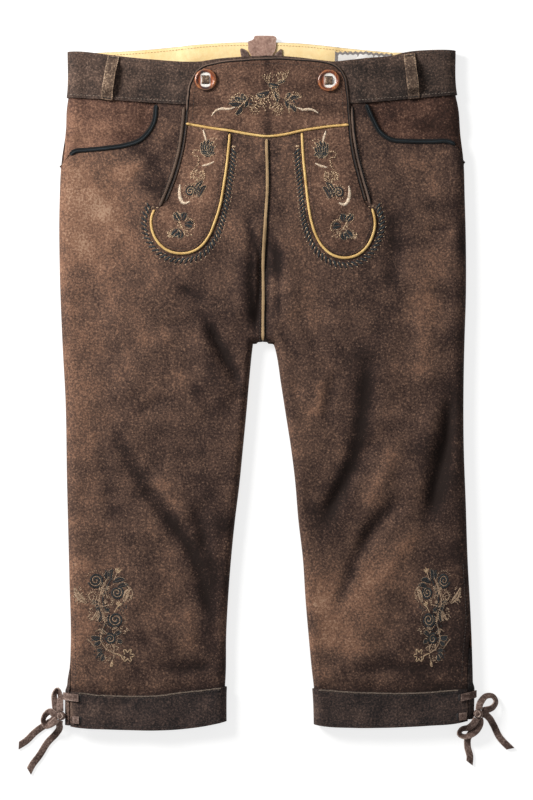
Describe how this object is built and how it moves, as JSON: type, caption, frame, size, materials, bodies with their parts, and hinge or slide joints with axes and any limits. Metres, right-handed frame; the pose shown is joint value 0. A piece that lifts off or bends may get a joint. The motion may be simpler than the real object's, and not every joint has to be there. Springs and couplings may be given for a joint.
{
  "type": "lederhosen",
  "caption": "Knee-length suede lederhosen laid flat: drop-front flap with horn buttons and piping, bound pockets, belt loops, hem bands tied with leather laces at side slits.",
  "frame": {"origin": "centre of the garment's bounding box in plan, without its laces, on the surface it rests on", "axes": "+X to the wearer's left, +Y up to the waist, +Z out of the front, away from the surface"},
  "size_m": [0.5511, 0.8162, 0.0233],
  "materials": {
    "suede_brown": "napped suede",
    "suede_band": "napped suede",
    "binding_dark": "smooth worn",
    "binding_teal": "smooth worn",
    "piping_yellow": "smooth grain",
    "leather_tan": "smooth grain",
    "suede_mauve": "napped suede",
    "patch_cloth": "plain woven",
    "horn": "polished horn"
  },
  "bodies": {
    "root": {"front_leg_r": "suede_brown", "front_leg_l": "suede_brown", "back_leg_r": "suede_brown", "back_leg_l": "suede_brown", "pocket_facing_r": "suede_brown", "pocket_facing_l": "suede_brown", "pocket_binding_r": "binding_teal", "pocket_binding_l": "binding_teal", "waistband_front_r": "suede_band", "waistband_front_l": "suede_band", "tongue_r": "suede_brown", "tongue_l": "suede_brown", "tongue_piping_r": "piping_yellow", "tongue_piping_l": "piping_yellow", "opening_binding_r": "suede_brown", "opening_binding_l": "suede_brown", "button_r": "horn", "button_l": "horn", "button_thong_r": "suede_mauve", "button_thong_l": "suede_mauve", "belt_loop_r": "suede_brown", "belt_loop_l": "suede_brown", "cuff_front_r": "suede_band", "cuff_front_l": "suede_band", "cuff_back_r": "suede_band", "cuff_back_l": "suede_band", "slit_strip_r": "suede_band", "slit_strip_l": "suede_band", "lace_knot_r": "suede_mauve", "lace_knot_l": "suede_mauve", "lace_bar_upper_r": "suede_mauve", "lace_bar_upper_l": "suede_mauve", "lace_bar_lower_r": "suede_mauve", "lace_bar_lower_l": "suede_mauve", "lace_loop_up_r": "suede_mauve", "lace_loop_up_l": "suede_mauve", "lace_end_a_r": "suede_mauve", "lace_end_a_l": "suede_mauve", "lace_end_b_r": "suede_mauve", "lace_end_b_l": "suede_mauve", "back_leaf_small_r": "suede_band", "back_leaf_small_l": "suede_band", "lace_loop_side_r": "suede_mauve", "lace_loop_low_l": "suede_mauve", "waistband_back": "suede_band", "back_facing": "leather_tan", "back_leaf": "suede_mauve", "inner_patch": "patch_cloth", "flap": "suede_brown", "flap_binding": "binding_dark", "flap_seam_piping": "piping_yellow", "centre_front_piping": "piping_yellow"}
  },
  "joints": []
}
